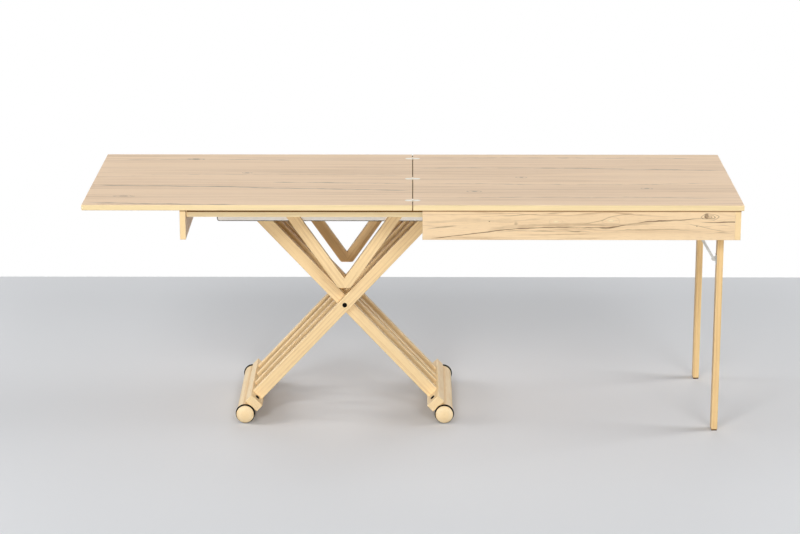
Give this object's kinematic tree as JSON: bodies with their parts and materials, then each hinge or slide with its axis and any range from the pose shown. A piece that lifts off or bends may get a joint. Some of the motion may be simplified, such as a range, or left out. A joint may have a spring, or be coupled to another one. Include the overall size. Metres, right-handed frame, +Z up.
{
  "type": "convertible coffee dining table",
  "caption": "Wooden table with a scissor base that lifts from coffee to dining height; its top slides along a rail frame and unfolds to double length on folding end legs.",
  "frame": {"origin": "on the floor under the middle of the seam between the two leaves, table open at dining height", "axes": "+X along the open table from the folding leaf to the folding legs, +Z up, +Y from front to back"},
  "size_m": [2.03, 0.7, 0.7528],
  "materials": {
    "leaf_wood": "matte oiled board",
    "frame_wood": "satin lacquered wood",
    "zinc_steel": "zinc plated",
    "hinge_steel": "satin nickel",
    "black_steel": "black",
    "black_rubber": "matte",
    "dark_glide": "matte",
    "pale_nylon": "matte",
    "grey_felt": "felt"
  },
  "bodies": {
    "sub_frame": {"front_rail": "frame_wood", "rear_rail": "frame_wood", "left_cross_rail": "frame_wood", "right_cross_rail": "frame_wood", "end_cross_rail": "frame_wood", "end_panel": "frame_wood", "front_guide_plate": "zinc_steel", "rear_guide_plate": "zinc_steel", "v_brace_front_left": "frame_wood", "v_brace_front_right": "frame_wood", "v_brace_rear_left": "frame_wood", "v_brace_rear_right": "frame_wood", "leaf_felt_strips": "grey_felt", "track_glide_blocks": "pale_nylon", "frame_screws": "zinc_steel"},
    "top_slider": {"right_top_shaft": "zinc_steel", "right_slot_bushes": "pale_nylon", "right_shaft_clips": "zinc_steel"},
    "left_arm_frame": {"arm_left_front_outer": "frame_wood", "arm_left_front_inner": "frame_wood", "arm_left_rear_outer": "frame_wood", "arm_left_rear_inner": "frame_wood", "pivot_shaft": "zinc_steel", "pivot_caps": "black_steel", "pivot_washers": "zinc_steel", "pivot_spacers": "zinc_steel", "left_foot_plank": "frame_wood", "left_foot_roller": "frame_wood", "left_foot_rings": "black_rubber", "left_foot_bolts": "black_steel"},
    "right_arm_frame": {"arm_right_front_outer": "frame_wood", "arm_right_front_inner": "frame_wood", "arm_right_rear_outer": "frame_wood", "arm_right_rear_inner": "frame_wood", "left_top_shaft": "zinc_steel", "left_slot_bushes": "pale_nylon", "left_shaft_clips": "zinc_steel", "right_foot_plank": "frame_wood", "right_foot_roller": "frame_wood", "right_foot_rings": "black_rubber", "right_foot_bolts": "black_steel"},
    "apron_box": {"right_leaf": "leaf_wood", "front_apron": "frame_wood", "rear_apron": "frame_wood", "end_apron": "frame_wood", "front_slide_track": "zinc_steel", "rear_slide_track": "zinc_steel", "hinge_plates_right": "hinge_steel", "hinge_pins": "zinc_steel", "seam_strip": "dark_glide", "leg_battens": "frame_wood", "leg_pins": "zinc_steel"},
    "flip_leaf": {"left_leaf": "leaf_wood", "hinge_plates_left": "hinge_steel"},
    "leg_pair": {"front_leg": "frame_wood", "rear_leg": "frame_wood", "leg_bar": "frame_wood", "leg_glides": "dark_glide", "brace_brackets": "zinc_steel"},
    "brace_pair": {"leg_braces": "zinc_steel"}
  },
  "joints": [
    {"name": "top_shaft_slide", "type": "slide", "parent": "sub_frame", "child": "top_slider", "axis": [1, 0, 0], "range_m": [0, 0.09435]},
    {"name": "lift_fold", "type": "hinge", "parent": "top_slider", "child": "left_arm_frame", "pos_m": [0.06889, 0, 0.676], "axis": [0, 1, 0], "range_deg": [0, 22.2]},
    {"name": "scissor_pivot", "type": "hinge", "parent": "left_arm_frame", "child": "right_arm_frame", "pos_m": [-0.2155, 0, 0.37103], "axis": [0, 1, 0], "range_deg": [-44.4, 0]},
    {"name": "extension_slide", "type": "slide", "parent": "sub_frame", "child": "apron_box", "axis": [1, 0, 0], "range_m": [-0.723, 0]},
    {"name": "leaf_flip", "type": "hinge", "parent": "apron_box", "child": "flip_leaf", "pos_m": [0, 0, 0.7504], "axis": [0, 1, 0], "range_deg": [0, 180]},
    {"name": "leg_fold", "type": "hinge", "parent": "apron_box", "child": "leg_pair", "pos_m": [0.954, 0, 0.668], "axis": [0, 1, 0], "range_deg": [0, 90]},
    {"name": "brace_fold", "type": "hinge", "parent": "leg_pair", "child": "brace_pair", "pos_m": [0.936, 0, 0.558], "axis": [0, 1, 0], "range_deg": [-147.96, 0]}
  ],
  "couplings": [
    {"joint": "top_shaft_slide", "follows": "lift_fold", "m_per_rad": 0.24299},
    {"joint": "scissor_pivot", "follows": "lift_fold", "ratio": -2},
    {"joint": "brace_fold", "follows": "leg_fold", "ratio": -1.6434}
  ]
}
